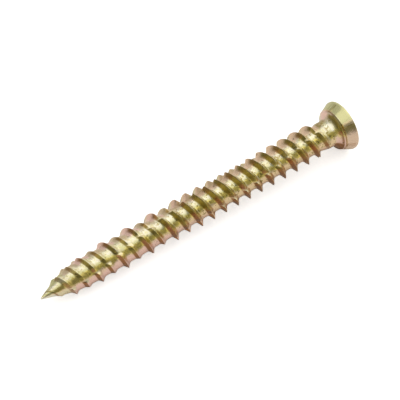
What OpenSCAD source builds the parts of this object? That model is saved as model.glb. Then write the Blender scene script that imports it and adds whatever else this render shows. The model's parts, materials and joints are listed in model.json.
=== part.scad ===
// Frame screw with a coarse two-start thread, lying on its side.
//
// The screw is one piece of cold-formed steel. Its axis runs from the point at station 0
// to the face of the head at station overall_length. Both thread starts are right-handed
// and share one lead; near the point one start stands lower than the other. Lines of
// notches cut the ridges into saw-like teeth.
// Lengths are in millimetres and angles in degrees. Angle 0 about the axis points to the
// ground that the screw lies on.

/* [Overall] */
// Length from the point to the face of the head
overall_length = 72; // [52:0.5:132]
// Outside diameter over the full thread
thread_d = 7.3; // [6.9:0.05:7.5]

/* [Thread] */
// Distance one start climbs in one full turn
lead = 5.74; // [5.2:0.02:6.2]
// Turn of the thread about the axis
thread_phase = 1; // [0:1:359]
// Outside diameter over the lower start near the point
low_start_d = 6.2; // [5.8:0.05:6.6]
// Station up to which the lower start keeps that diameter
low_start_end = 27; // [20:0.5:28]
// Station from which both starts have the full diameter
full_thread_from = 35; // [32:0.5:38]
// Root diameter behind the point
front_root_d = 5.34; // [5.0:0.02:5.5]
// Station up to which the root keeps that diameter
front_root_end = 20; // [14:0.5:22]
// Root diameter of the rest of the thread
rear_root_d = 4.86; // [4.6:0.02:5.2]
// Station from which the root has that diameter
rear_root_from = 31; // [26:0.5:36]

/* [Ridge] */
// Width of the flat on top of a ridge
crest_w = 0.16; // [0.1:0.02:0.3]
// Width of a ridge where its flanks run out into the fillets
flank_w = 1.04; // [0.8:0.02:1.2]
// Height of the fillets at the foot of a full ridge
fillet_h = 0.42; // [0.3:0.02:0.6]
// Width of a ridge over its fillets
ridge_w = 2.2; // [1.9:0.05:2.4]

/* [Notches] */
// Number of lines of notches about the axis
notch_lines = 3; // [1:1:4]
// Turn of a line of notches for each millimetre towards the point
notch_wind = 3.1; // [0:0.1:6]
// Angle at which the first line would reach the point
notch_phase = 268; // [0:1:359]
// Sideways swing of the lines of notches
notch_sway = 6; // [0:0.5:10]
// Length over which they swing once to and fro
sway_length = 45; // [30:1:60]
// Station at which they first swing out
sway_from = 8; // [0:1:30]
// Depth of a notch in a full ridge
notch_depth = 0.65; // [0:0.05:0.8]
// Angle over which a ridge sinks into a notch
notch_fall = 24; // [16:1:32]
// Angle over which it rises out of the notch
notch_rise = 12; // [10:1:24]

/* [Point] */
// Diameter of the blunt end of the point
point_d = 0.3; // [0.2:0.05:0.6]
// Length over which the root swells from the point to its front diameter
point_length = 11; // [9:0.5:13]
// Station at which the thread starts
thread_start = 2.4; // [2:0.1:4]
// Distance of the blunt end from the axis of the shank, where pinching has bent it
point_drift = 0.3; // [0:0.05:0.5]
// Angle at which it stands off
drift_angle = 304; // [0:1:359]
// Length of the bent end
drift_length = 6; // [4:0.5:10]

/* [Neck and head] */
// Diameter of the plain neck under the head
neck_d = 5.7; // [5.6:0.05:6.2]
// Length of the plain neck
neck_length = 0.9; // [0.8:0.1:2.5]
// Length over which the root swells to the neck
neck_rise = 2; // [1.5:0.1:3]
// Length over which the ridges sink into the neck
run_out = 4; // [3:0.1:6]
// Outside diameter of the head
head_d = 10.5; // [10:0.1:11.5]
// Height of the head with its flared foot
head_h = 4.2; // [3.8:0.1:5]
// Height of the countersunk cone and the rim together
cone_h = 2.85; // [2.6:0.05:3.3]
// Diameter at the small end of the countersunk cone
cone_d = 8.3; // [7.6:0.1:8.6]
// Height of the step from the flared foot to the cone
foot_step = 0.08; // [0.04:0.02:0.16]
// Length of the collar that the cone starts with
collar_h = 0.45; // [0.3:0.05:0.9]
// Width and depth of the crease between the collar and the ribs
crease_w = 0.16; // [0.1:0.02:0.3]
crease_depth = 0.07; // [0.04:0.01:0.1]
// Height of the rim of the head
rim_h = 0.6; // [0.4:0.05:0.9]
// Rounding of the edge of the rim
rim_round = 0.25; // [0.1:0.05:0.35]

/* [Cutting ribs] */
// Number of cutting ribs under the head
rib_count = 6; // [4:2:8]
// Angle of the first rib about the axis
rib_phase = 39; // [0:1:89]
// Width of a cutting rib
rib_w = 0.75; // [0.4:0.05:1]
// Height of a cutting rib at its end next to the collar
rib_h = 0.16; // [0.1:0.02:0.3]

/* [Drive recess] */
// Distance across opposite lobes of the six-lobe recess
recess_a = 5.6; // [5:0.1:6]
// Distance across opposite flutes of the six-lobe recess
recess_b = 3.95; // [3.6:0.05:4.2]
// Depth of the straight walls of the recess
recess_depth = 2.8; // [2:0.1:3]
// Depth of the drill point at the bottom of the recess
recess_tip = 0.7; // [0.3:0.1:1]

/* [Hidden] */
// Number of starts of the thread
starts = 2;
// Axial distance from one ridge to the next
pitch = lead / starts;
// Stations of the foot of the head, the end of the thread and the parts of the head
head_foot = overall_length - head_h;
thread_end = head_foot - neck_length;
cone_foot = overall_length - cone_h;
crease_station = cone_foot + collar_h;
rim_station = overall_length - rim_h;
// Radius of the countersunk cone at a station
cone_slope = (head_d - cone_d) / 2 / (rim_station - cone_foot);
function cone_r(x) = cone_d / 2 + (x - cone_foot) * cone_slope;
// How far the wound shank reaches into the neck, and how far it stands below the neck there
lap = 0.8;
lap_step = 0.05;
wound_end = thread_end + lap;
// How far a solid reaches past the surface of another that it joins or cuts
overlap = 0.5;

// Share of the point's length and of the front root radius, where the point swells
point_swell = [
    [0.09, 0.20], [0.22, 0.38], [0.36, 0.61], [0.50, 0.78], [0.68, 0.92], [0.82, 0.98], [1, 1]
];
// Root radius along the axis
root_table = concat(
    [[0, point_d / 2]],
    [for (s = point_swell) [s[0] * point_length, s[1] * front_root_d / 2]],
    [
        [front_root_end, front_root_d / 2],
        [rear_root_from, rear_root_d / 2],
        [thread_end - neck_rise, rear_root_d / 2],
        [thread_end, neck_d / 2 - lap_step],
        [wound_end, neck_d / 2 - lap_step]
    ]
);
function root_r(x) = lookup(x, root_table);

// Distance from the start of the thread and share of the crest radius, where a start grows
full_growth = [
    [1.3, 0.53], [2.2, 0.66], [3.1, 0.74], [4.2, 0.81], [7.1, 0.88], [10, 0.93], [13, 0.955],
    [18, 0.973], [23, 1]
];
low_growth = [
    [1.3, 0.57], [2.8, 0.75], [4.2, 0.91], [7.1, 0.97], [10, 1]
];
// Share of the run-out and of the ridge that is left, where a ridge sinks into the neck
sinking = [
    [0, 1], [0.35, 0.88], [0.7, 0.45], [1, 0]
];
// Crest radius along the axis of a start that grows to radius r
function growing(growth, r) = concat(
    [[thread_start, root_r(thread_start)]],
    [for (g = growth) [thread_start + g[0], g[1] * r]]
);
run_out_table = [
    for (s = sinking)
        let (sunk_r = neck_d / 2 - lap_step)
        [thread_end - run_out * (1 - s[0]), sunk_r + s[1] * (thread_d / 2 - sunk_r)]
];
full_start = concat(growing(full_growth, thread_d / 2), run_out_table);
low_start = concat(
    growing(low_growth, low_start_d / 2),
    [
        [low_start_end, low_start_d / 2],
        [full_thread_from, thread_d / 2]
    ],
    run_out_table
);

// Share of a notch's depth by the angle from the line of notches, with a short floor
notch_floor = 4;
notch_outline = [
    [-notch_floor / 2 - notch_fall, 0],
    [-notch_floor / 2, 1],
    [notch_floor / 2, 1],
    [notch_floor / 2 + notch_rise, 0]
];
// Largest share of a ridge's height that a notch takes away
notch_limit = 0.75;
function notch_share(x, angle) =
    let (gap = 360 / notch_lines)
    let (sway = notch_sway * cos(360 * (x - sway_from) / sway_length))
    let (turn = angle - notch_phase + notch_wind * x - sway + gap / 2)
    lookup(turn - gap * floor(turn / gap) - gap / 2, notch_outline);

// Height of a ridge over the root; odd ridges belong to the full start
function ridge_h(x, ridge, angle) =
    let (h = lookup(x, ridge % 2 == 1 ? full_start : low_start) - root_r(x))
    x <= thread_start || x >= thread_end ? 0
    : h - min(notch_depth, h * notch_limit) * notch_share(x, angle);

// Outline of a ridge as axial offset and share of its height
fillet_share = fillet_h / (thread_d / 2 - rear_root_d / 2);
ridge_outline = [
    [-ridge_w / 2, 0],
    [-flank_w / 2, fillet_share],
    [-crest_w / 2, 1],
    [crest_w / 2, 1],
    [flank_w / 2, fillet_share],
    [ridge_w / 2, 0]
];
columns_a_ridge = len(ridge_outline);

// Ridges are counted from one ahead of the point, which winds this many turns to the point
turns_ahead = 1.19;
first_station = -lead * (turns_ahead + thread_phase / 360);
ridge_count = ceil((wound_end - first_station) / pitch) + 1;
function crest_station(ridge, angle) = first_station + ridge * pitch + lead * angle / 360;

// Steps in one turn, as many as this number of facets allows
facet_limit = 12000;
steps = floor(facet_limit / (2 * ridge_count * columns_a_ridge));

// Point of the wound surface as [station, radius]
function surface_point(ridge, column, angle) =
    let (crest = crest_station(ridge, angle))
    let (x = crest + ridge_outline[column][0])
    x <= 0 ? [0, root_r(0)]
    : x >= wound_end ? [wound_end, root_r(wound_end)]
    : [x, root_r(x) + ridge_h(crest, ridge, angle) * ridge_outline[column][1]];

// Offset of the section at a station from the axis of the shank
function drift(x) =
    let (share = max(0, 1 - x / drift_length))
    point_drift * share * share;

// Slope at which the screw lies: the rim of its head and one ridge touch the ground
touch_slopes = [
    for (ridge = [0:ridge_count - 1])
        for (i = [0:steps - 1])
            let (angle = 360 * i / steps)
            let (x = crest_station(ridge, angle))
            if (x > thread_start && x < thread_end)
                let (reach = (root_r(x) + ridge_h(x, ridge, angle)) * cos(angle))
                (head_d / 2 - reach) / (rim_station - x)
];
rest_tilt = atan(min(touch_slopes));
// Place of the point when the screw lies with its box centred over the origin
face_reach = overall_length * cos(rest_tilt) + (head_d / 2 - rim_round) * sin(rest_tilt);
point_at = [-face_reach / 2, 0, head_d / 2 * cos(rest_tilt) - rim_station * sin(rest_tilt)];

// Sub-part to build

// Shank with its two thread starts, as one closed surface wound along the lead
module threaded_shank() {
    columns = ridge_count * columns_a_ridge;
    shift = starts * columns_a_ridge;
    points = [
        for (i = [0:steps - 1])
            let (angle = 360 * i / steps)
            for (c = [0:columns - 1])
                let (p = surface_point(floor(c / columns_a_ridge), c % columns_a_ridge, angle))
                [
                    p[1] * cos(angle) + drift(p[0]) * cos(drift_angle),
                    p[1] * sin(angle) + drift(p[0]) * sin(drift_angle),
                    p[0]
                ]
    ];
    walls = [
        for (i = [0:steps - 1])
            let (wraps = i == steps - 1)
            let (base = i * columns)
            let (next = wraps ? shift : base + columns)
            for (c = [0:columns - 2 - (wraps ? shift : 0)])
                each [
                    [base + c, next + c + 1, next + c],
                    [base + c, base + c + 1, next + c + 1]
                ]
    ];
    point_cap = [for (i = [0:steps - 1]) i * columns];
    neck_cap = [for (i = [steps - 1:-1:0]) i * columns + columns - 1];
    polyhedron(points = points, faces = concat(walls, [point_cap, neck_cap]), convexity = 12);
}

// Half outline of the neck and head, from the thread to the face
module head_outline() {
    flare_steps = 6;
    // Share of the flare's rise that comes from its bow
    flare_bow = 0.85;
    flare_run = cone_foot - head_foot;
    flare_rise = cone_d / 2 - foot_step - neck_d / 2;
    polygon(concat(
        [[0, thread_end], [neck_d / 2, thread_end]],
        [
            for (i = [0:flare_steps])
                let (t = i / flare_steps)
                [neck_d / 2 + flare_rise * t * (1 - flare_bow * (1 - t)), head_foot + flare_run * t]
        ],
        [
            [cone_d / 2, cone_foot],
            [cone_r(crease_station - crease_w / 2), crease_station - crease_w / 2],
            [cone_r(crease_station) - crease_depth, crease_station],
            [cone_r(crease_station + crease_w / 2), crease_station + crease_w / 2],
            [head_d / 2, rim_station],
            [head_d / 2, overall_length - rim_round],
            [head_d / 2 - rim_round * (1 - cos(45)), overall_length - rim_round * (1 - sin(45))],
            [head_d / 2 - rim_round, overall_length],
            [0, overall_length]
        ]
    ));
}

// One cutting rib, standing on the countersunk cone and running out at the rim
module cutting_rib() {
    rib_foot = crease_station + crease_w / 2;
    // How far its end at the rim stays below the rim
    rib_sink = 0.05;
    rotate([90, 0, 0])
        linear_extrude(height = rib_w, center = true)
            polygon([
                [cone_r(rib_foot) - overlap, rib_foot],
                [cone_r(rib_foot) + rib_h, rib_foot],
                [head_d / 2 - rib_sink, rim_station],
                [head_d / 2 - rib_sink - overlap, rim_station]
            ]);
}

// Six-lobe recess seen along the axis; the shares are those of the six-lobe drive
module recess_outline() {
    lobes = 6;
    lobe_r = recess_a * 0.083;
    flute_r = recess_a * 0.213;
    lobe_at = recess_a / 2 - lobe_r;
    flute_at = recess_b / 2 + flute_r;
    for (i = [0:lobes - 1])
        rotate(360 * i / lobes)
            translate([lobe_at, 0])
                circle(r = lobe_r, $fn = 32);
    difference() {
        circle(r = recess_a * 0.446, $fn = 64);
        for (i = [0:lobes - 1])
            rotate(360 * (i + 0.5) / lobes)
                translate([flute_at, 0])
                    circle(r = flute_r, $fn = 48);
    }
}

// Drive recess with the shallow cone that its punch leaves at the bottom
module drive_recess() {
    bottom = overall_length - recess_depth;
    // Radius of the drill point's end, and how far its wide end stays inside the flutes
    tip_r = 0.2;
    flute_gap = 0.12;
    // How far the two cuts overlap
    cut_overlap = 0.01;
    translate([0, 0, bottom])
        linear_extrude(height = recess_depth + overlap)
            recess_outline();
    translate([0, 0, bottom - recess_tip])
        cylinder(h = recess_tip + cut_overlap, r1 = tip_r, r2 = recess_b / 2 - flute_gap, $fn = 48);
}

// The whole screw with its axis on Z
module screw_upright() {
    difference() {
        union() {
            threaded_shank();
            rotate_extrude($fn = 96)
                head_outline();
            for (i = [0:rib_count - 1])
                rotate(rib_phase + 360 * i / rib_count)
                    cutting_rib();
        }
        drive_recess();
    }
}

module frame_screw() {
    color([0.76, 0.69, 0.4])
        translate(point_at)
            rotate([0, 90 - rest_tilt, 0])
                screw_upright();
}

frame_screw();
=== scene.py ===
"""Dresses the frame screw as yellow-plated steel on a plain pale floor.

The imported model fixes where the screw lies. The screw is modelled upright, with its
point at the origin and its axis on Z, in millimetres. It is then laid along the axis that
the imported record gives, and takes the place of the plain solid.
"""

import json
import logging
import math
from bisect import bisect_right
from dataclasses import dataclass
from enum import Enum
from typing import Callable, NamedTuple, Sequence

import bpy
from mathutils import Matrix, Vector


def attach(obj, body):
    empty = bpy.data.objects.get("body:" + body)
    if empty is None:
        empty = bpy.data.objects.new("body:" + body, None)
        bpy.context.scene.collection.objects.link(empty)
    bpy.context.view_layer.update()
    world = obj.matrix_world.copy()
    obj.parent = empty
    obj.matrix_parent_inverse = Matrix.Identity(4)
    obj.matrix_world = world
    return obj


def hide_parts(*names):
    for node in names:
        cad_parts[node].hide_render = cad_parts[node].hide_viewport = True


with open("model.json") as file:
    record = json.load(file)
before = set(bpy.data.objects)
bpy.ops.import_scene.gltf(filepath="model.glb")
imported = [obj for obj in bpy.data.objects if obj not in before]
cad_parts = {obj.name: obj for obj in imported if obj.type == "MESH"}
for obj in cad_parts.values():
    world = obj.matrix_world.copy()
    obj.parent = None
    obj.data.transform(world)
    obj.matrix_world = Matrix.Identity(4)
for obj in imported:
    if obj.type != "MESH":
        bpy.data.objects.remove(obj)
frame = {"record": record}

LOG = logging.getLogger("frame_screw")
MM = 0.001
NODE = "frame_screw"
SLOT = "yellow_zinc_steel"
MARKS_ATTRIBUTE = "film_marks"

Station = float
Pair = tuple[float, float]
Triple = tuple[float, float, float]
Socket = bpy.types.NodeSocket


def lookup(x: float, table: Sequence[Pair]) -> float:
    """Read a value between the rows of a table.

    Args:
        x: Where to read.
        table: Rows of (place, value), with the places rising.

    Returns:
        The value at x, held at the ends of the table.
    """
    if x <= table[0][0]:
        return table[0][1]
    if x >= table[-1][0]:
        return table[-1][1]
    row = bisect_right([place for place, _ in table], x)
    (x0, y0), (x1, y1) = table[row - 1], table[row]
    return y0 + (y1 - y0) * (x - x0) / (x1 - x0)


def ease(t: float) -> float:
    """Turn a straight rise from 0 to 1 into a soft one."""
    t = min(1.0, max(0.0, t))
    return t * t * (3 - 2 * t)


def rise(x: float, low: float, high: float) -> float:
    """Rise softly from 0 at one value to 1 at a higher one."""
    return ease((x - low) / (high - low))


def hump(x: float, low: float, full: float, fade: float, end: float) -> float:
    """Rise softly from low to full, and fall softly from fade to end."""
    return rise(x, low, full) * (1 - rise(x, fade, end))


def angle_of(co: Vector) -> float:
    """Angle of a place about the axis, in degrees from 0 to 360."""
    return math.degrees(math.atan2(co.y, co.x)) % 360


@dataclass(frozen=True)
class Overall:
    """Sizes of the whole screw, in millimetres."""

    length: float = 72.0
    thread_d: float = 7.3


@dataclass(frozen=True)
class Thread:
    """Sizes of the wound thread, in millimetres and degrees."""

    lead: float = 5.74
    starts: int = 2
    phase: float = 1.0
    turns_ahead: float = 1.19
    low_start_d: float = 6.2
    low_start_end: Station = 27.0
    full_from: Station = 35.0
    front_root_d: float = 5.34
    front_root_end: Station = 20.0
    rear_root_d: float = 4.86
    rear_root_from: Station = 31.0
    crest_w: float = 0.16
    flank_w: float = 1.04
    fillet_h: float = 0.42
    ridge_w: float = 2.2
    play: float = 0.006

    @property
    def pitch(self) -> float:
        """Axial distance from one ridge to the next."""
        return self.lead / self.starts

    @property
    def first_station(self) -> float:
        """Station of the crest of ridge 0 at angle 0."""
        return -self.lead * (self.turns_ahead + self.phase / 360)


@dataclass(frozen=True)
class Notches:
    """Lines of notches that cut the ridges into saw-like teeth, in millimetres and degrees."""

    lines: int = 3
    wind: float = 3.1
    phase: float = 268.0
    sway: float = 6.0
    sway_length: float = 45.0
    sway_from: Station = 8.0
    depth: float = 0.65
    fall: float = 24.0
    rise: float = 12.0
    floor: float = 4.0
    limit: float = 0.75


@dataclass(frozen=True)
class Point:
    """The pinched point, in millimetres and degrees."""

    d: float = 0.3
    length: float = 11.0
    thread_start: Station = 2.4
    drift: float = 0.3
    drift_angle: float = 304.0
    drift_length: float = 6.0
    swell: tuple[Pair, ...] = (
        (0.09, 0.20), (0.22, 0.38), (0.36, 0.61), (0.50, 0.78), (0.68, 0.92), (0.82, 0.98), (1, 1),
    )
    full_growth: tuple[Pair, ...] = (
        (1.3, 0.53), (2.2, 0.66), (3.1, 0.74), (4.2, 0.81), (7.1, 0.88), (10, 0.93),
        (13, 0.955), (18, 0.973), (23, 1),
    )
    low_growth: tuple[Pair, ...] = ((1.3, 0.57), (2.8, 0.75), (4.2, 0.91), (7.1, 0.97), (10, 1))


@dataclass(frozen=True)
class Head:
    """The neck and the countersunk head, in millimetres and degrees."""

    neck_d: float = 5.7
    neck_length: float = 0.9
    neck_rise: float = 2.0
    run_out: float = 4.0
    d: float = 10.5
    h: float = 4.2
    cone_h: float = 2.85
    cone_d: float = 8.3
    foot_step: float = 0.08
    collar_h: float = 0.45
    crease_w: float = 0.16
    crease_depth: float = 0.07
    rim_h: float = 0.6
    rim_round: float = 0.25
    flare_bow: float = 0.85
    rib_count: int = 6
    rib_phase: float = 39.0
    rib_w: float = 0.75
    rib_h: float = 0.16


@dataclass(frozen=True)
class Recess:
    """The six-lobe drive recess, in millimetres."""

    across_lobes: float = 5.6
    across_flutes: float = 3.95
    depth: float = 2.8
    tip: float = 0.7
    tip_r: float = 0.2
    edge_break: float = 0.08
    lobe_share: float = 0.083
    flute_share: float = 0.213
    core_share: float = 0.446

    def radius(self, angle: float) -> float:
        """Radius of the recess's outline at an angle in degrees about the axis."""
        lobe_r, flute_r = self.across_lobes * self.lobe_share, self.across_lobes * self.flute_share
        lobe_at, flute_at = self.across_lobes / 2 - lobe_r, self.across_flutes / 2 + flute_r
        turned = math.radians((angle + 30) % 60 - 30)
        across = math.radians(angle % 60 - 30)
        reach = self.across_lobes * self.core_share
        inside = flute_r**2 - (flute_at * math.sin(across)) ** 2
        if inside > 0:
            reach = min(reach, flute_at * math.cos(across) - math.sqrt(inside))
        inside = lobe_r**2 - (lobe_at * math.sin(turned)) ** 2
        if inside > 0:
            reach = max(reach, lobe_at * math.cos(turned) + math.sqrt(inside))
        return reach


class Marks(NamedTuple):
    """Masks at one place of the screw for the film's tints and for painted light, each from 0 to
    1.

    They tell how far the place is darkened with painted shade, whether its ridge is of the full
    start, how far it is lightened with a painted highlight, and how far it lies behind a crest,
    where the film is rougher and partly darkened with painted shade.
    """

    dark: float = 0.0
    full: float = 0.0
    bare: float = 0.0
    lee: float = 0.0


class Bench:
    """Modelling moves that the sub-assemblies share."""

    # Gaps under which vertices are merged, and lie on a cut
    MERGE_GAP = 0.0005
    CUT_GAP = 1e-5

    @staticmethod
    def clear() -> None:
        """Leave edit mode and deselect every object."""
        active = bpy.context.view_layer.objects.active
        if active is not None and active.mode != "OBJECT":
            bpy.ops.object.mode_set(mode="OBJECT")
        bpy.ops.object.select_all(action="DESELECT")

    @staticmethod
    def pick(obj: bpy.types.Object) -> None:
        """Select one object alone, and make it the active one."""
        Bench.clear()
        obj.select_set(True)
        bpy.context.view_layer.objects.active = obj

    @staticmethod
    def edit(obj: bpy.types.Object) -> None:
        """Enter edit mode on one object, with all of it selected."""
        Bench.pick(obj)
        bpy.ops.object.mode_set(mode="EDIT")
        bpy.ops.mesh.select_mode(type="VERT")
        bpy.ops.mesh.select_all(action="SELECT")

    @staticmethod
    def chain(name: str, points: Sequence[Pair]) -> bpy.types.Object:
        """Draw an open outline in the XZ plane by extruding one vertex from point to point.

        Args:
            name: Name of the new object.
            points: Points of the outline as (radius, station).

        Returns:
            The outline as an object with edges only.
        """
        Bench.clear()
        bpy.ops.mesh.primitive_plane_add(size=1)
        obj = bpy.context.object
        obj.name = name
        Bench.edit(obj)
        bpy.ops.mesh.merge(type="CENTER")
        bpy.ops.transform.translate(value=(points[0][0], 0, points[0][1]))
        for (r0, z0), (r1, z1) in zip(points, points[1:]):
            bpy.ops.mesh.extrude_vertices_move(
                TRANSFORM_OT_translate={"value": (r1 - r0, 0, z1 - z0)}
            )
        Bench.clear()
        return obj

    @staticmethod
    def wind(obj: bpy.types.Object, steps: int, climb: float = 0.0, turns: int = 1) -> None:
        """Sweep an outline about Z and apply the result.

        Args:
            obj: The outline.
            steps: Steps in one turn.
            climb: Rise along Z in one turn.
            turns: Number of turns.
        """
        Bench.pick(obj)
        sweep = obj.modifiers.new("sweep", "SCREW")
        sweep.axis = "Z"
        sweep.angle = math.tau
        sweep.screw_offset = climb
        sweep.iterations = turns
        sweep.steps = sweep.render_steps = steps
        sweep.use_merge_vertices = climb == 0
        bpy.ops.object.modifier_apply(modifier=sweep.name)
        Bench.edit(obj)
        bpy.ops.mesh.remove_doubles(threshold=Bench.MERGE_GAP)
        Bench.clear()

    @staticmethod
    def cut(obj: bpy.types.Object, station: Station, keep_above: bool, fill: bool) -> None:
        """Cut an object square to Z and throw one side away.

        Args:
            obj: The object to cut.
            station: Height of the cut.
            keep_above: Whether the side above the cut stays.
            fill: Whether the cut is closed with a face.
        """
        Bench.edit(obj)
        bpy.ops.mesh.bisect(
            plane_co=(0, 0, station), plane_no=(0, 0, 1), clear_inner=keep_above,
            clear_outer=not keep_above, use_fill=fill, threshold=Bench.CUT_GAP,
        )
        Bench.clear()

    @staticmethod
    def shape(obj: bpy.types.Object, move: Callable[[Vector], Vector]) -> None:
        """Move every vertex of an object.

        Args:
            obj: The object to shape.
            move: Gives the new place of a vertex from its old one.
        """
        for vertex in obj.data.vertices:
            vertex.co = move(vertex.co)
        obj.data.update()


@dataclass
class Shank:
    """The point, the root and both thread starts, wound as one surface."""

    overall: Overall
    head: Head
    near_side: float
    thread: Thread = Thread()
    notches: Notches = Notches()
    point: Point = Point()

    STEPS = 120
    TURNS = 14
    BASE_R = 2.0
    # Share of a ridge's height that rounds its crest off
    ROUND_OFF = 0.06
    # Offsets from a crest at which the outline has points on the fillet and on the flank
    FILLET_AT = (0.9, 0.74, 0.62)
    FLANK_AT = (0.4, 0.27, 0.16)
    # Run-out of a crest into the neck: share of its length, and share of its height left
    SINKING = ((0.0, 1.0), (0.35, 0.88), (0.7, 0.45), (1.0, 0.0))
    # Station behind which the play is taken off the radius
    PLAY_FROM = 0.5
    # Offsets from a crest between which the flank that faces the point is dark with painted shade
    DARK_FROM = -0.76
    DARK_TO = -0.08
    # Angle over which the painted highlight behind a notch runs to its point
    HIGHLIGHT_TURN = 18.0

    def __post_init__(self) -> None:
        """Lay out the radii of the root and of both starts along the axis."""
        thread, point, head = self.thread, self.point, self.head
        self.end = self.overall.length - head.h - head.neck_length
        front_r, rear_r = thread.front_root_d / 2, thread.rear_root_d / 2
        low_r, full_r, neck_r = thread.low_start_d / 2, self.overall.thread_d / 2, head.neck_d / 2
        self.root_table = [
            (0.0, point.d / 2),
            *((s * point.length, r * front_r) for s, r in point.swell),
            (thread.front_root_end, front_r), (thread.rear_root_from, rear_r),
            (self.end - head.neck_rise, rear_r), (self.end, neck_r),
        ]
        run_out = [
            (self.end - head.run_out * (1 - s), neck_r + left * (full_r - neck_r))
            for s, left in self.SINKING
        ]
        grown_up = [(thread.low_start_end, low_r), (thread.full_from, full_r)]
        self.full_table = self.grown(point.full_growth, full_r) + run_out
        self.low_table = self.grown(point.low_growth, low_r) + grown_up + run_out

    def grown(self, growth: Sequence[Pair], radius: float) -> list[Pair]:
        """Crest radii of a start that grows to a radius behind the point."""
        start = self.point.thread_start
        return [(start, self.root_r(start)), *((start + s, share * radius) for s, share in growth)]

    def root_r(self, x: Station) -> float:
        """Root radius at a station."""
        return lookup(x, self.root_table)

    def notch_turn(self, x: Station, angle: float) -> float:
        """Angle at the crest of a ridge from the middle of the nearest line of notches."""
        n = self.notches
        gap = 360 / n.lines
        sway = n.sway * math.cos(math.tau * (x - n.sway_from) / n.sway_length)
        return (angle - n.phase + n.wind * x - sway + gap / 2) % gap - gap / 2

    def notch_share(self, x: Station, angle: float) -> float:
        """Share of a notch's depth at the crest of a ridge."""
        n = self.notches
        off = self.notch_turn(x, angle)
        if off < 0:
            return ease(1 + (off + n.floor / 2) / n.fall)
        return ease(1 - (off - n.floor / 2) / n.rise)

    def whole_h(self, x: Station, ridge: int) -> float:
        """Height of a ridge over the root between its notches."""
        if not self.point.thread_start < x < self.end:
            return 0.0
        table = self.full_table if ridge % 2 else self.low_table
        return max(0.0, lookup(x, table) - self.root_r(x))

    def ridge_h(self, x: Station, ridge: int, angle: float) -> float:
        """Height of a ridge over the root."""
        height = self.whole_h(x, ridge)
        notch = min(self.notches.depth, height * self.notches.limit)
        return height - notch * self.notch_share(x, angle)

    def ridge_share(self, offset: float) -> float:
        """Share of a ridge's height at an axial offset from its crest."""
        t = self.thread
        d = abs(offset)
        fillet = t.fillet_h / (self.overall.thread_d / 2 - t.rear_root_d / 2)
        crest, flank, foot = t.crest_w / 2, t.flank_w / 2, t.ridge_w / 2
        edge = 1 - self.ROUND_OFF
        if d <= crest:
            return 1 - self.ROUND_OFF * (d / crest) ** 2
        slope = (edge - fillet) / (flank - crest)
        if d <= flank:
            return edge - slope * (d - crest)
        bend = slope * (foot - flank) / fillet
        return fillet * max(0.0, (foot - d) / (foot - flank)) ** bend

    def outline(self) -> list[Pair]:
        """One lead of the thread, from valley to valley, as (radius, station)."""
        t = self.thread
        half = [
            t.pitch / 2, t.ridge_w / 2, *self.FILLET_AT, t.flank_w / 2, *self.FLANK_AT,
            t.crest_w / 2,
        ]
        offsets = [-d for d in half] + [0.0] + half[:0:-1]
        points = [
            (self.BASE_R + self.ridge_share(d), t.first_station + ridge * t.pitch + d)
            for ridge in range(t.starts)
            for d in offsets
        ]
        last = t.first_station + (t.starts - 0.5) * t.pitch
        return points + [(self.BASE_R + self.ridge_share(t.pitch / 2), last)]

    def nearest_ridge(self, co: Vector) -> tuple[float, int, Station]:
        """Find the ridge that a place lies on.

        Args:
            co: The place.

        Returns:
            Its angle about the axis in degrees, the number of the ridge, and the station of
            the ridge's crest at that angle.
        """
        t = self.thread
        angle = angle_of(co)
        turned = t.first_station + t.lead * angle / 360
        ridge = round((co.z - turned) / t.pitch)
        return angle, ridge, turned + ridge * t.pitch

    def place(self, co: Vector) -> Vector:
        """Real place of a vertex of the even rod that the outline was wound to."""
        angle, ridge, crest = self.nearest_ridge(co)
        share = math.hypot(co.x, co.y) - self.BASE_R
        r = self.root_r(co.z) + share * self.ridge_h(crest, ridge, angle)
        if co.z > self.PLAY_FROM:
            r = max(self.point.d / 2, r - self.thread.play)
        drift = self.point.drift * max(0.0, 1 - co.z / self.point.drift_length) ** 2
        a, d = math.radians(angle), math.radians(self.point.drift_angle)
        return Vector((
            r * math.cos(a) + drift * math.cos(d), r * math.sin(a) + drift * math.sin(d), co.z,
        ))

    def marks(self, co: Vector) -> Marks:
        """Film masks at a place on the shank.

        Args:
            co: The place.

        Returns:
            The masks. Painted shade darkens the flanks that face the point, except near the
            notches, and a line on the pinched point. A painted highlight is a spot that runs to a
            point behind each notch. The lee lies behind the crests, and on the upper side in the
            notches.
        """
        angle, ridge, crest = self.nearest_ridge(co)
        offset = co.z - crest
        side = math.sin(math.radians(angle - self.near_side))
        turn = self.notch_turn(crest, angle)
        stands = rise(self.whole_h(crest, ridge), 0.12, 0.37)
        young = 0.65 + 0.35 * rise(crest, 5.5, 8.5)
        full_at = self.DARK_FROM + 0.16 + 0.22 * rise(-side, 0.5, 0.8)
        # Painted shade on the flank that faces the point, broken near the notches.
        dark = hump(offset, self.DARK_FROM, full_at, self.DARK_TO, self.DARK_TO + 0.12)
        breach = (0.2 + 0.4 * rise(side, -0.1, 0.2)) * (1 - rise(side, 0.6, 0.75))
        breach *= 1 - rise(crest, self.end - 5, self.end - 3)
        dark *= 1 - breach * hump(turn, -9, -3, 1, 4)
        # A line of painted shade on the pinched point.
        line = rise(crest, 1.2, 1.5) * (1 - stands) * (1 - rise(abs(offset + 0.3), 0, 0.35))
        # A painted highlight behind each notch, where the ridge rises again.
        run = turn / self.HIGHLIGHT_TURN
        front, back = 0.65 * run - 0.32, 0.68 - 0.3 * run
        bare = ease(1 + run * 6) * hump(offset, front, front + 0.12, back, back + 0.12)
        bare *= 1 - rise(side, 0.72, 0.87)
        # The lee is rougher, and takes painted shade in the film's colours.
        lee = hump(offset, 0.05, 0.15, 0.85, 1.15) * (1 - bare)
        lee = max(lee, self.notch_share(crest, angle) * rise(-side, 0.45, 0.65))
        return Marks(
            max(dark * stands * young, line), float(ridge % 2), bare * stands, lee * stands,
        )

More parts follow.
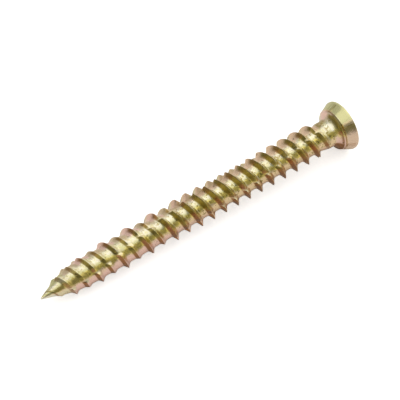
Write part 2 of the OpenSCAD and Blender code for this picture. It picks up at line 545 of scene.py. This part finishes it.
    def build(self, neck_station: Station) -> bpy.types.Object:
        """Model the shank up to a station in the plain neck, where it stays open."""
        obj = Bench.chain("shank", self.outline())
        Bench.wind(obj, self.STEPS, climb=self.thread.lead, turns=self.TURNS)
        Bench.cut(obj, 0.0, keep_above=True, fill=True)
        Bench.cut(obj, neck_station, keep_above=False, fill=False)
        Bench.shape(obj, self.place)
        return obj


@dataclass
class ScrewHead:
    """The neck, the flared foot, the countersunk cone with its ribs, and the drive recess."""

    overall: Overall
    head: Head
    near_side: float
    recess: Recess = Recess()

    STEPS = 240
    FLARE_RINGS = 10
    CONE_RINGS = 8
    ROUND_RINGS = 4
    RECESS_RINGS = 4
    # Heights over the cone's foot of the step there and of the first ring of the cone
    STEP_H = 0.02
    FIRST_RING_H = 0.1
    # Distance from the crease to the next ring
    CREASE_GAP = 0.04
    # Share of the head's radius at the ring in its flat face
    FACE_SHARE = 0.8
    # Share of the recess's radius at the foot of its tip, and one just over it
    TIP_SHARE = 0.68
    IN_TIP_SHARE = 0.7
    # Width of the slope at the sides of a rib
    RIB_SHOULDER = 0.1
    # Gap between the recess's narrowest part and its tip
    TIP_GAP = 0.12
    # Distance at which two places are one
    NEAR = 1e-4
    # Reach of the painted shade line at the crease, and of the flare's masks over the cone's foot
    CREASE_REACH = 0.1
    FLARE_REACH = 0.05
    # Distance of a rib's edge of painted shade from the rib
    EDGE_OUT = 0.03

    def __post_init__(self) -> None:
        """Work out the stations of the head's parts."""
        top, head = self.overall.length, self.head
        self.foot = top - head.h
        self.cone_foot = top - head.cone_h
        self.crease = self.cone_foot + head.collar_h
        self.rim = top - head.rim_h
        self.recess_end = top - self.recess.depth - self.recess.tip

    def cone_r(self, x: Station) -> float:
        """Radius of the countersunk cone at a station."""
        h = self.head
        out = (x - self.cone_foot) * (h.d - h.cone_d) / 2 / (self.rim - self.cone_foot)
        return h.cone_d / 2 + out

    def outline(self, neck_station: Station) -> list[Pair]:
        """Half outline from the neck over the rim to the middle of the recess."""
        h, top = self.head, self.overall.length
        points = [(h.neck_d / 2, neck_station)]
        run, spread = self.cone_foot - self.foot, h.cone_d / 2 - h.foot_step - h.neck_d / 2
        for i in range(self.FLARE_RINGS + 1):
            t = i / self.FLARE_RINGS
            points.append((
                h.neck_d / 2 + spread * t * (1 - h.flare_bow * (1 - t)), self.foot + run * t,
            ))
        points.append((h.cone_d / 2, self.cone_foot + self.STEP_H))
        half = h.crease_w / 2
        start = self.crease + half + self.CREASE_GAP
        length = self.rim - start
        rings = [
            (self.cone_foot + self.FIRST_RING_H, 0.0), (self.crease - half, 0.0),
            (self.crease, h.crease_depth), (self.crease + half, 0.0),
            *((start + length * i / self.CONE_RINGS, 0.0) for i in range(self.CONE_RINGS + 1)),
        ]
        points += [(self.cone_r(x) - depth, x) for x, depth in rings]
        for i in range(self.ROUND_RINGS + 1):
            a = math.pi / 2 * i / self.ROUND_RINGS
            points.append((
                h.d / 2 - h.rim_round * (1 - math.cos(a)), top - h.rim_round * (1 - math.sin(a)),
            ))
        edge, out = self.recess.edge_break, self.recess.across_lobes / 2
        points += [(h.d / 2 * self.FACE_SHARE, top), (out + 3 * edge, top), (out + edge, top)]
        for i in range(1, self.RECESS_RINGS + 1):
            a = math.pi / 2 * i / self.RECESS_RINGS
            points.append((out + edge * (1 - math.sin(a)), top - edge * (1 - math.cos(a))))
        bottom = top - self.recess.depth
        points += [(out, top - self.recess.depth / 2), (out, bottom)]
        points += [(out * self.TIP_SHARE, bottom), (self.recess.tip_r, bottom - self.recess.tip)]
        return points + [(0.0, bottom - self.recess.tip)]

    def from_rib(self, angle: float, radius: float) -> float:
        """Distance along the cone from the middle of the nearest rib, with its sign."""
        gap = 360 / self.head.rib_count
        off = (angle - self.head.rib_phase + gap / 2) % gap - gap / 2
        return math.radians(off) * radius

    def rib_rise(self, x: Station, angle: float, radius: float) -> float:
        """How far a cutting rib stands out of the cone."""
        h = self.head
        foot = self.crease + h.crease_w / 2
        if not foot < x < self.rim:
            return 0.0
        across = abs(self.from_rib(angle, radius))
        side = ease((h.rib_w / 2 + self.RIB_SHOULDER / 2 - across) / self.RIB_SHOULDER)
        return h.rib_h * side * (1 - (x - foot) / (self.rim - foot))

    def place(self, co: Vector) -> Vector:
        """Real place of a vertex of the turned blank, with its ribs and its recess."""
        radius = math.hypot(co.x, co.y)
        angle = angle_of(co)
        out = self.recess.across_lobes / 2
        top = self.overall.length
        mouth = out + 3 * self.recess.edge_break
        in_recess = radius <= mouth + self.NEAR and co.z > self.recess_end - self.NEAR
        if in_recess and radius > self.recess.tip_r + self.NEAR:
            if co.z < top - self.recess.depth + self.NEAR and radius < out * self.IN_TIP_SHARE:
                scale = (self.recess.across_flutes / 2 - self.TIP_GAP) / radius
            else:
                scale = (self.recess.radius(angle) + max(0.0, radius - out)) / radius
        elif co.z < self.rim:
            scale = (radius + self.rib_rise(co.z, angle, radius)) / max(radius, 1e-6)
        else:
            scale = 1.0
        return Vector((co.x * scale, co.y * scale, co.z))

    def marks(self, co: Vector, lean: float) -> Marks:
        """Film masks at a place on the head.

        Args:
            co: The place.
            lean: How far its normal leans to the point, from 0 to 1.

        Returns:
            The masks. Painted shade darkens the ribs' tops and edges, the crease and the collar,
            and on the flare the steep end, the line at the collar and the underside. The flare's
            middle has a painted highlight.
        """
        if co.z > self.rim or math.hypot(co.x, co.y) < self.recess.across_lobes / 2 + 0.01:
            return Marks()
        angle = angle_of(co)
        side = math.sin(math.radians(angle - self.near_side))
        below = rise(side, 0.1, 0.4)
        # The crease, darkened with painted shade.
        if abs(co.z - self.crease) < self.CREASE_REACH:
            return Marks(dark=0.65, full=1.0)
        if co.z > self.crease:
            # Painted shade on the ribs' edges and tops.
            across = self.from_rib(angle, self.cone_r(co.z))
            edge = self.head.rib_w / 2 + self.EDGE_OUT
            near_edge = 0.85 * ease(1 - abs(across - edge) / 0.14)
            far_edge = 0.6 * below * ease(1 - abs(across + edge) / 0.12)
            top = 0.3 if abs(across) < self.head.rib_w / 2 else 0.0
            return Marks(dark=max(near_edge, far_edge, top))
        # The collar, darkened with painted shade in its middle.
        if co.z > self.cone_foot + self.FLARE_REACH:
            return Marks(dark=hump(side, -0.75, -0.55, 0.1, 0.3))
        # On the flare, painted shade on the steep end, the line at the collar and the underside.
        steep = rise(lean, 0.66, 0.82) * hump(side, -0.9, -0.7, 0.3, 0.5)
        foot_line = 0.8 * rise(co.z, self.cone_foot - 0.3, self.cone_foot - 0.18) * below
        underside = rise(side, 0.83, 0.91) * rise(lean, 0, 0.15)
        # A painted highlight in the middle of the flare.
        bare = hump(side, -0.75, -0.55, -0.05, 0.15) * hump(lean, 0, 0.25, 0.5, 0.66)
        return Marks(dark=max(steep, foot_line, underside), full=below, bare=bare)

    def build(self, neck_station: Station) -> bpy.types.Object:
        """Model the head down to a station in the plain neck, where it stays open."""
        obj = Bench.chain("head", self.outline(neck_station))
        Bench.wind(obj, self.STEPS)
        Bench.shape(obj, self.place)
        return obj


class FrameScrew:
    """The whole screw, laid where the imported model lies."""

    JOIN_GAP = 0.25
    # Angle about the axis of the side that faces the camera
    NEAR_SIDE = 214.4
    # Angle between faces up to which they are shaded smooth
    SMOOTH_UP_TO = 38

    def __init__(self) -> None:
        overall, head = Overall(), Head()
        self.shank = Shank(overall, head, self.NEAR_SIDE)
        self.head = ScrewHead(overall, head, self.NEAR_SIDE)
        face = next(m for m in frame["record"]["mounts"] if m["name"] == "drive_recess")
        self.axis = Vector(face["axis"]).normalized()
        point = Vector(face["pos_m"]) - self.axis * overall.length * MM
        across = Vector((0, 1, 0))
        lie = Matrix((across.cross(self.axis), across, self.axis)).transposed().to_4x4()
        self.place = Matrix.Translation(point) @ lie

    def join(self, shank: bpy.types.Object, head: bpy.types.Object) -> bpy.types.Object:
        """Join the two parts, which are open at the neck, to one closed mesh."""
        Bench.pick(shank)
        head.select_set(True)
        bpy.ops.object.join()
        Bench.edit(shank)
        bpy.ops.mesh.select_mode(type="EDGE")
        bpy.ops.mesh.select_all(action="DESELECT")
        bpy.ops.mesh.select_non_manifold(
            extend=False, use_wire=False, use_boundary=True, use_multi_face=False,
            use_non_contiguous=False, use_verts=False,
        )
        bpy.ops.mesh.bridge_edge_loops()
        bpy.ops.mesh.select_all(action="SELECT")
        bpy.ops.mesh.normals_make_consistent(inside=False)
        Bench.clear()
        return shank

    def build(self) -> bpy.types.Object:
        """Model the screw and lay it in its place."""
        end = self.shank.end
        shank = self.shank.build(end + self.JOIN_GAP)
        head = self.head.build(end + 2 * self.JOIN_GAP)
        screw = self.join(shank, head)
        screw.name = screw.data.name = "plated_screw"
        screw.matrix_world = self.place @ Matrix.Scale(MM, 4)
        Bench.pick(screw)
        bpy.ops.object.transform_apply(location=True, rotation=True, scale=True)
        bpy.ops.object.shade_smooth_by_angle(angle=math.radians(self.SMOOTH_UP_TO))
        for vertex in screw.data.vertices:
            vertex.co.z = max(vertex.co.z, 0.0)
        self.write_marks(screw)
        return screw

    def write_marks(self, screw: bpy.types.Object) -> None:
        """Write the masks of every vertex of the laid screw, for the film and for painted shade
        and highlights, as an attribute.
        """
        marks = screw.data.attributes.new(MARKS_ATTRIBUTE, "FLOAT_COLOR", "POINT")
        to_screw = self.place.inverted()
        for vertex, mark in zip(screw.data.vertices, marks.data):
            place = to_screw @ vertex.co / MM
            if place.z < self.shank.end:
                mark.color = self.shank.marks(place)
            else:
                mark.color = self.head.marks(place, -vertex.normal.dot(self.axis))


@dataclass
class Graph:
    """Short moves for laying out nodes in one tree.

    The value of an input is a number, a colour, a vector, an output or a soft edge. A soft
    edge is the tuple that span takes: an output, its values where the edge sets in and where
    it is full, the full share, and the share before. These two are 1 and 0 if left out.
    """

    tree: bpy.types.NodeTree

    def node(self, kind: str, *values: object, **settings: object) -> bpy.types.Node:
        """Add a node.

        Args:
            kind: Type name of the node.
            values: Values of its first inputs, in order.
            settings: Properties to set by name.

        Returns:
            The new node.
        """
        made = self.tree.nodes.new(kind)
        for key, value in settings.items():
            setattr(made, key, value)
        for value, socket in zip(values, made.inputs):
            self.feed(value, socket)
        return made

    def feed(self, value: object, target: Socket) -> None:
        """Give an input its value, which is as the class describes."""
        if isinstance(value, tuple) and isinstance(value[0], Socket):
            value = self.span(*value)
        if isinstance(value, Socket):
            self.tree.links.new(value, target)
        else:
            target.default_value = value

    def plug(self, node: bpy.types.Node, values: dict[str, object]) -> Sequence[Socket]:
        """Give the named inputs of a node their values, and return its outputs."""
        for name, value in values.items():
            self.feed(value, node.inputs[name])
        return node.outputs

    def math(self, operation: str, *values: object) -> Socket:
        """Work out a number."""
        return self.node("ShaderNodeMath", *values, operation=operation).outputs[0]

    def vector(self, operation: str, *values: object, output: str = "Vector") -> Socket:
        """Work out a vector, or a number where the output says so."""
        return self.node("ShaderNodeVectorMath", *values, operation=operation).outputs[output]

    def product(self, first: object, *others: object) -> object:
        """Multiply values by each other, where there is more than one."""
        for other in others:
            first = self.math("MULTIPLY", first, other)
        return first

    def span(self, value: object, start: float, end: float, full: float = 1.0,
             before: float = 0.0) -> Socket:
        """Map the range of a soft edge on its shares."""
        values = (value, start, end, before, full)
        made = self.node("ShaderNodeMapRange", *values, interpolation_type="SMOOTHSTEP")
        return made.outputs["Result"]

    def mix(self, share: object, first: object, second: object, label: str = "") -> Socket:
        """Mix two colours by the share of the second one."""
        made = self.node("ShaderNodeMix", share, label=label, data_type="RGBA")
        for value, socket in zip((first, second), made.inputs[6:8]):
            self.feed(value, socket)
        return made.outputs[2]

    def noise(self, vector: Socket, scale: object, detail: float = 3.0,
              rough: float = 0.5) -> Socket:
        """Even noise from 0 to 1."""
        made = self.node("ShaderNodeTexNoise", vector)
        return self.plug(made, {"Scale": scale, "Detail": detail, "Roughness": rough})["Fac"]


class SocketKind(Enum):
    """Kinds of group socket."""

    VALUE = "NodeSocketFloat"
    COLOUR = "NodeSocketColor"
    VECTOR = "NodeSocketVector"


def new_group(name: str, inputs: dict[str, tuple[SocketKind, object]],
              outputs: dict[str, SocketKind]) -> tuple[bpy.types.NodeTree, Graph]:
    """Make a shader node group with named inputs and outputs.

    Args:
        name: Name of the group.
        inputs: Kind and default value of each input.
        outputs: Kind of each output.

    Returns:
        The group and its graph.
    """
    tree = bpy.data.node_groups.new(name, "ShaderNodeTree")
    for label, (kind, value) in inputs.items():
        socket = tree.interface.new_socket(label, in_out="INPUT", socket_type=kind.value)
        if value is not None:
            socket.default_value = value
    for label, kind in outputs.items():
        tree.interface.new_socket(label, in_out="OUTPUT", socket_type=kind.value)
    return tree, Graph(tree)


@dataclass(frozen=True)
class Plating:
    """Yellow passivated zinc: gloss, and scales and strengths of its marks."""

    roughness: float = 0.24
    lee_roughness: float = 0.45
    grain_roughness: float = 0.12
    cloud_scale: float = 420.0
    patch_scale: float = 714.0
    wisp_scale: float = 1500.0
    speck_scale: float = 1900.0
    grain_scale: float = 2600.0
    swell_scale: float = 728.0
    pit_scale: float = 950.0
    pit_shade: float = 0.6
    pit_height: float = -0.5
    grain_height: float = 0.4
    bump_strength: float = 0.3
    bump_distance: float = 0.0002


class Tint(Enum):
    """Tints of the film and of painted light, which are inputs of its group. The pale highlight
    tint colours painted highlights, the last one darkens the crease with painted shade and
    also colours the pits, and bronze and russet colour the painted shade on the flanks.
    """

    CREAM = (0.97, 0.91, 0.70, 1)
    STRAW = (0.88, 0.80, 0.47, 1)
    LIME = (0.72, 0.68, 0.34, 1)
    OLIVE = (0.90, 0.72, 0.17, 1)
    SAND = (0.93, 0.70, 0.40, 1)
    ROSE = (0.97, 0.66, 0.53, 1)
    KHAKI = (0.72, 0.58, 0.34, 1)
    UMBER = (0.45, 0.35, 0.11, 1)
    BRONZE = (0.30, 0.23, 0.055, 1)
    RUSSET = (0.385, 0.18, 0.072, 1)
    # Pale colour of the painted highlights.
    BARE = (0.98, 0.86, 0.54, 1)
    # Painted shade in the crease of the head; it also colours the pits.
    SHADE = (0.14, 0.105, 0.03, 1)


class FilmAndPaintedLight:
    """Builds the group that colours the screw, in layers with soft edges: the passive film's
    tints, painted shade and painted highlights.

    Places are read across the screw, from -1 on its upper side as the camera sees it to 1 on
    its lower side, along it in metres from the point, and past the crease of the head. The
    bands lie on the half that faces Front and follow the light there, so that they are partly
    painted reflection, and the other half is mottled. Marks and Lee hold the masks of the mesh,
    with those of painted shade and highlights, and Bright Lee tells where the film is less
    glossy.
    """

    def __init__(self, finish: Plating, screw: FrameScrew) -> None:
        side = math.radians(screw.NEAR_SIDE + 90)
        colours = {t.name.title(): (SocketKind.COLOUR, t.value) for t in Tint}
        inputs = {
            "Place": (SocketKind.VECTOR, None),
            "Marks": (SocketKind.COLOUR, None),
            "Lee": (SocketKind.VALUE, 0.0),
            "Side": (SocketKind.VECTOR, (math.cos(side), math.sin(side), 0.0)),
            "Front": (SocketKind.VECTOR, (math.sin(side), -math.cos(side), 0.0)),
            "Cone Station": (SocketKind.VALUE, screw.head.crease * MM),
            "Cloud Scale": (SocketKind.VALUE, finish.cloud_scale),
        }
        outputs = {"Color": SocketKind.COLOUR, "Bright Lee": SocketKind.VALUE}
        self.tree, g = new_group("film_and_painted_light", {**inputs, **colours}, outputs)
        self.g = g
        self.source = g.node("NodeGroupInput").outputs
        place, self.lee = self.source["Place"], self.source["Lee"]
        flat = g.vector("MULTIPLY", place, (1, 1, 0))
        outward = g.vector("NORMALIZE", flat)
        self.away = g.vector("LENGTH", flat, output="Value")
        self.across = g.vector("DOT_PRODUCT", outward, self.source["Side"], output="Value")
        self.facing = g.vector("DOT_PRODUCT", outward, self.source["Front"], output="Value")
        self.along = g.node("ShaderNodeSeparateXYZ", place).outputs["Z"]
        self.past = g.math("SUBTRACT", self.along, self.source["Cone Station"])
        masks = g.node("ShaderNodeSeparateColor", self.source["Marks"])
        self.dark, self.full, self.bare = masks.outputs
        self.cloud = g.noise(place, self.source["Cloud Scale"], 5, 0.6)
        self.wisps = g.noise(place, finish.wisp_scale, 4, 0.6)
        self.grit = g.noise(place, finish.speck_scale, 1)
        self.stray = g.math("MULTIPLY_ADD", self.cloud, 0.9, -0.45)
        self.band = g.math("ADD", self.across, self.stray)
        self.ahead = g.span(self.along, 0.045, 0.02)
        on_foot = g.product((self.past, -0.0018, -0.0014), (self.past, 0.0, -0.0003))
        self.pink = g.math("MAXIMUM", self.ahead, on_foot)
        self.low_lee = g.product((self.across, -0.15, 0.1), self.lee)

    def stack(self, under: object, *layers: Sequence[object]) -> Socket:
        """Lay tints over each other.

        Args:
            under: The lowest tint.
            layers: From below, the name of each layer, its tint, and the values whose product
                is its share.

        Returns:
            The mixed tint.
        """
        for name, over, *shares in layers:
            tints = [self.source[t.name.title()] if isinstance(t, Tint) else t
                     for t in (under, over)]
            under = self.g.mix(self.g.product(*shares), *tints, label=name)
        return under

    def near_tint(self) -> Socket:
        """Tint of the near side, in bands that follow the light: straw and cream where the lamp is
        reflected, an olive band where the darker walls are reflected, and sand where the floor is,
        with dark specks. The bands are partly the film's own tints and partly painted reflection.
        """
        # Straw and cream where the lamp is reflected: partly the film's tint and partly painted
        # highlight.
        lit = self.stack(
            Tint.STRAW,
            ("cream", Tint.CREAM, (self.wisps, 0.4, 0.58), (self.band, -0.05, -0.3)),
            ("lime clouds", Tint.LIME, (self.cloud, 0.54, 0.68, 0.6)),
            ("khaki wisps", Tint.KHAKI, (self.wisps, 0.57, 0.65, 0.8)),
        )
        olive = self.stack(
            Tint.OLIVE,
            ("umber on the point", Tint.UMBER, (self.along, 0.0098, 0.0075, 0.7)),
            ("lime tip", Tint.LIME, (self.along, 0.003, 0.002)),
        )
        speck = self.stack(Tint.UMBER, ("darker below", Tint.BRONZE, (self.band, -0.2, 0.05)))
        return self.stack(
            lit,
            ("lime line", Tint.LIME, (self.band, -0.22, -0.04, 0.8)),
            # The olive band lies where the darker walls are reflected: partly the film's tint,
            # partly painted reflection.
            ("olive band", olive, (self.band, -0.07, 0.12)),
            ("sand below it", Tint.SAND, (self.band, 0.34, 0.55)),
            ("dull wisps", Tint.UMBER, (self.wisps, 0.5, 0.64, 0.55),
             (self.band, -0.1, 0.15), (self.band, 0.75, 0.45, 1.0, 0.35)),
            ("specks", speck, (self.grit, 0.56, 0.64, 0.9),
             (self.cloud, 0.38, 0.52, 1.0, 0.2), (self.along, 0.022, 0.03, 1.0, 0.4)),
        )

    def shank_tint(self) -> Socket:
        """Tint of the near half of the shank and the flare, without the painted shade of their
        flanks.
        """
        flush = self.stack(
            Tint.SAND,
            ("rosy parts", Tint.ROSE, (self.pink, 0.0, 1.0, 1.0, 0.45)),
            ("straw point", Tint.STRAW, (self.along, 0.0065, 0.005, 0.8)),
            ("cream tip", Tint.CREAM, (self.along, 0.0035, 0.0025)),
        )
        upper = self.stack(
            flush,
            # Painted shade behind the crests on the upper edge.
            ("behind the crests", Tint.KHAKI, (self.wisps, 0.35, 0.65, 1.0, 0.4), self.lee),
            ("lower start in front", Tint.KHAKI, (self.along, 0.035, 0.03, 0.8),
             self.g.math("SUBTRACT", 1.0, self.full)),
            ("middle part", Tint.RUSSET, (self.along, 0.028, 0.033),
             (self.along, 0.048, 0.042, 0.18)),
            ("lime point", Tint.LIME, (self.along, 0.0065, 0.004)),
            ("blotches on the neck", Tint.UMBER, (self.past, -0.004, -0.0032),
             (self.past, -0.0012, -0.0018), (self.wisps, 0.35, 0.55, 1.0, 0.5)),
        )
        # Painted shade on the slopes behind the crests on the lower side: umber, and straw further
        # back.
        lee_shade = self.stack(Tint.UMBER, ("straw behind", Tint.STRAW, (self.along, 0.024, 0.03)))
        low = self.g.math("MULTIPLY_ADD", self.pink, 0.3, self.band)
        return self.stack(
            self.near_tint(),
            ("lower edge", flush, (low, 0.75, 1.0)),
            ("upper edge", upper, (self.band, -0.52, -0.82)),
            ("gilt slopes", lee_shade, self.low_lee, (self.across, 0.65, 0.4),
             (self.along, 0.024, 0.036, 0.8, 0.45)),
        )

    def cone_tint(self) -> Socket:
        """Tint of the countersunk cone, in calm bands that follow the light: lime where the lamp
        is reflected, khaki, an umber band of painted shade, and a warm band below where the floor
        is reflected. They are partly the film's own tints and partly painted reflection.
        """
        calm = self.g.math("MULTIPLY_ADD", self.stray, 0.4, self.across)
        warm = self.stack(Tint.KHAKI, ("rosy khaki", Tint.ROSE, 0.5))
        return self.stack(
            Tint.LIME,
            ("khaki band", Tint.KHAKI, (calm, -0.04, 0.04)),
            # Painted shade where the cone reflects the darker walls.
            ("umber band", Tint.UMBER, (calm, 0.13, 0.2, 0.85)),
            ("lower band", warm, (calm, 0.3, 0.5)),
        )

    def flank_tint(self) -> Socket:
        """Tint of the painted shade on the flanks and the head, with more russet on the full
        start.
        """
        lower = self.g.math("MULTIPLY_ADD", self.full, 0.4, self.band)
        upper = self.g.math("MULTIPLY_ADD", self.full, 0.4, (self.ahead, 0.0, 1.0, 0.5, 0.1))
        return self.stack(
            Tint.BRONZE,
            ("lower edge", Tint.RUSSET, (lower, 0.3, 0.7)),
            ("upper edge", Tint.RUSSET, (self.band, -0.4, -0.75), upper),
        )

    def build(self) -> bpy.types.NodeTree:
        """Lay all tints over each other, and put them out."""
        g = self.g
        mottle = self.stack(
            Tint.SAND,
            ("straw clouds", Tint.STRAW, (self.cloud, 0.38, 0.55)),
            ("rosy wisps", Tint.ROSE, (self.wisps, 0.52, 0.62, 0.7)),
        )
        in_recess = g.product((self.away, 0.0031, 0.0029), (self.past, -0.0016, -0.0012))
        on_face = g.math("MAXIMUM", in_recess, (self.along, 0.0718, 0.07194))
        # Colour of the painted highlights: pale, and cream on the flare.
        spot = self.stack(Tint.BARE, ("on the flare", Tint.CREAM, (self.past, -0.003, -0.002)))
        tint = self.stack(
            self.shank_tint(),
            ("cone", self.cone_tint(), (self.past, 0.0, 0.0003)),
            ("far half", mottle, (self.facing, 0.0, -0.35)),
            ("face", self.stack(mottle, ("lime face", Tint.LIME, 0.5)), on_face),
            # Painted shade on the flanks that face the point, the ribs, the crease, the collar and
            # the flare.
            ("dark flanks", self.flank_tint(), self.dark, (self.across, -0.98, -0.82, 1.0, 0.1)),
            ("crease's shade", Tint.SHADE, (self.past, -0.0005, -0.0004),
             (self.past, 0.0001, 0.0), (self.across, -0.7, -0.5, 0.7),
             (self.across, 0.15, -0.05)),
            # Painted highlights behind the notches and on the flare.
            ("bare spots", spot, self.bare),
        )
        slopes = g.math("MULTIPLY_ADD", self.low_lee, -0.6, self.lee)
        spots = g.product(self.bare, (self.past, -0.0022, -0.0026))
        g.node("NodeGroupOutput", tint, g.math("MAXIMUM", slopes, spots))
        return self.tree


@dataclass
class PlatedSteel:
    """Builds the material of the screw."""

    finish: Plating
    screw: FrameScrew

    def marks_group(self) -> bpy.types.NodeTree:
        """Make the group of the plating's grain and pits: a height, and a mask of the pits."""
        f = self.finish
        tree, g = new_group(
            "plating_marks",
            {
                "Place": (SocketKind.VECTOR, None),
                "Grain Scale": (SocketKind.VALUE, f.grain_scale),
                "Pit Scale": (SocketKind.VALUE, f.pit_scale),
            },
            {"Height": SocketKind.VALUE, "Pits": SocketKind.VALUE},
        )
        source = g.node("NodeGroupInput").outputs
        place = source["Place"]
        grain = g.noise(place, source["Grain Scale"], 4)
        swell = g.noise(place, f.swell_scale, 2)
        pits = g.node("ShaderNodeTexVoronoi", place, feature="F1")
        off = g.plug(pits, {"Scale": source["Pit Scale"]})["Distance"]
        hole = g.product((off, 0.32, 0.08), (g.noise(place, f.patch_scale, 2), 0.54, 0.62))
        height = g.math("MULTIPLY_ADD", grain, f.grain_height, swell)
        g.node("NodeGroupOutput", g.math("MULTIPLY_ADD", hole, f.pit_height, height), hole)
        return tree

    def build(self) -> bpy.types.Material:
        """Make the material, which reads the screw's own axes and the masks of its mesh."""
        f = self.finish
        material = bpy.data.materials.new(SLOT)
        material.use_nodes = True
        g = Graph(material.node_tree)
        shader = material.node_tree.nodes["Principled BSDF"]
        to_screw = self.screw.place.inverted()
        place = g.node(
            "ShaderNodeMapping", g.node("ShaderNodeTexCoord").outputs["Object"],
            to_screw.translation, to_screw.to_euler("XYZ"), label="screw's own axes",
        ).outputs[0]
        masks = g.node("ShaderNodeAttribute", attribute_name=MARKS_ATTRIBUTE).outputs
        film = g.plug(
            g.node("ShaderNodeGroup", node_tree=FilmAndPaintedLight(f, self.screw).build()),
            {"Place": place, "Marks": masks["Color"], "Lee": masks["Alpha"]},
        )
        marks = g.node("ShaderNodeGroup", node_tree=self.marks_group())
        height, pits = g.plug(marks, {"Place": place})
        smooth, duller = f.roughness - f.grain_roughness / 2, f.lee_roughness - f.roughness
        rough = g.math("MULTIPLY_ADD", height, f.grain_roughness, smooth)
        bump = {"Strength": f.bump_strength, "Distance": f.bump_distance, "Height": height}
        g.plug(shader, {
            "Metallic": 1.0,
            # The base colour carries the film's tints together with painted shade and highlights.
            "Base Color": g.mix(g.product(pits, f.pit_shade), film["Color"], Tint.SHADE.value),
            "Roughness": g.math("MULTIPLY_ADD", film["Bright Lee"], duller, rough),
            "Normal": g.plug(g.node("ShaderNodeBump"), bump)["Normal"],
        })
        return material


@dataclass(frozen=True)
class CameraSetup:
    """Where the camera stands: degrees, metres, and a lens in millimetres."""

    azimuth: float = -125.613
    elevation: float = 49.446
    distance: float = 0.38854
    target: Triple = (0.00173, 0.00137, 0.004)
    lens: float = 180.0
    sensor: float = 36.0


@dataclass
class Studio:
    """Floor, lamp, world and camera, in metres."""

    camera: CameraSetup = CameraSetup()
    floor_size: float = 4.0
    floor_colour: tuple[float, ...] = (0.88, 0.87, 0.86, 1)
    floor_roughness: float = 0.9
    floor_gloss: float = 0.1
    camera_lift: float = 0.6
    lamp_place: Triple = (-0.08, -0.045, 0.42)
    lamp_size: Pair = (1.85, 0.57)
    lamp_radiance: float = 0.57
    wall_strength: float = 0.48
    # Changes of it towards a direction: where they set in, where they are full, and by how much
    wall_changes: tuple[tuple[Triple, float, float, float], ...] = (
        ((0.0, -1.0, 0.0), 0.2, 0.7, -0.18),
        ((0.0, 1.0, 0.0), 0.3, 0.9, 0.07),
        ((0.9, 0.3, 0.3), 0.5, 0.95, 0.4),
        ((-1.0, 0.0, -0.1), 0.6, 0.95, -0.15),
    )

    def make_floor(self) -> None:
        """A pale floor that the camera and the metal see white, and that keeps the shadow."""
        Bench.clear()
        bpy.ops.mesh.primitive_plane_add(size=self.floor_size)
        floor = bpy.context.object
        floor.name = "studio_floor"
        material = bpy.data.materials.new("pale_floor")
        material.use_nodes = True
        g = Graph(material.node_tree)
        shader = material.node_tree.nodes["Principled BSDF"]
        seen = g.node("ShaderNodeLightPath").outputs["Is Camera Ray"]
        g.plug(shader, {
            "Base Color": self.floor_colour,
            "Roughness": self.floor_roughness,
            "Specular IOR Level": self.floor_gloss,
            "Emission Color": (1, 1, 1, 1),
            "Emission Strength": g.product(seen, self.camera_lift),
        })
        floor.data.materials.append(material)

    def make_lamp(self) -> None:
        """Hang a soft box over the floor, which it faces. A radiance of 1 renders as white."""
        Bench.clear()
        bpy.ops.object.light_add(type="AREA", location=self.lamp_place)
        lamp = bpy.context.object
        lamp.name = "overhead_box"
        lamp.data.shape = "RECTANGLE"
        width, depth = lamp.data.size, lamp.data.size_y = self.lamp_size
        lamp.data.energy = self.lamp_radiance * math.pi * width * depth

    def make_world(self) -> None:
        """Plain studio walls: white to the camera, darker towards the camera's side."""
        world = bpy.data.worlds.new("studio")
        bpy.context.scene.world = world
        world.use_nodes = True
        g = Graph(world.node_tree)
        background = world.node_tree.nodes["Background"]
        direction = g.node("ShaderNodeTexCoord").outputs["Generated"]
        walls: object = self.wall_strength
        for axis, start, full, change in self.wall_changes:
            side = g.vector("DOT_PRODUCT", direction, axis, output="Value")
            walls = g.math("ADD", (side, start, full, change), walls)
        seen = g.node("ShaderNodeLightPath").outputs["Is Camera Ray"]
        strength = g.node("ShaderNodeMix", seen, data_type="FLOAT")
        g.feed(walls, strength.inputs[2])
        g.feed(1.0, strength.inputs[3])
        g.plug(background, {"Color": (1, 1, 1, 1), "Strength": strength.outputs[0]})

    def make_camera(self) -> None:
        """Put the camera at the photograph's viewing angle."""
        c = self.camera
        azimuth, elevation = math.radians(c.azimuth), math.radians(c.elevation)
        back = Vector((
            math.cos(azimuth) * math.cos(elevation), math.sin(azimuth) * math.cos(elevation),
            math.sin(elevation),
        ))
        Bench.clear()
        bpy.ops.object.camera_add(location=Vector(c.target) + back * c.distance)
        camera = bpy.context.object
        camera.rotation_euler = (-back).to_track_quat("-Z", "Y").to_euler()
        camera.data.sensor_width = c.sensor
        camera.data.lens = c.lens
        camera.data.clip_start, camera.data.clip_end = 0.01, 20
        bpy.context.scene.camera = camera

    def build(self) -> None:
        """Set up the whole studio."""
        self.make_camera()
        self.make_floor()
        self.make_lamp()
        self.make_world()
        bpy.context.scene.view_settings.view_transform = "Standard"


def main() -> None:
    """Build the screw and its studio."""
    logging.basicConfig(level=logging.INFO, format="%(name)s: %(message)s")
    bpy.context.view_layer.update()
    Studio().build()
    screw = FrameScrew()
    piece = screw.build()
    piece.data.materials.clear()
    piece.data.materials.append(PlatedSteel(Plating(), screw).build())
    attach(piece, "root")
    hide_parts(NODE)
    LOG.info("%s: %d faces", piece.name, len(piece.data.polygons))


if __name__ == "__main__":
    main()
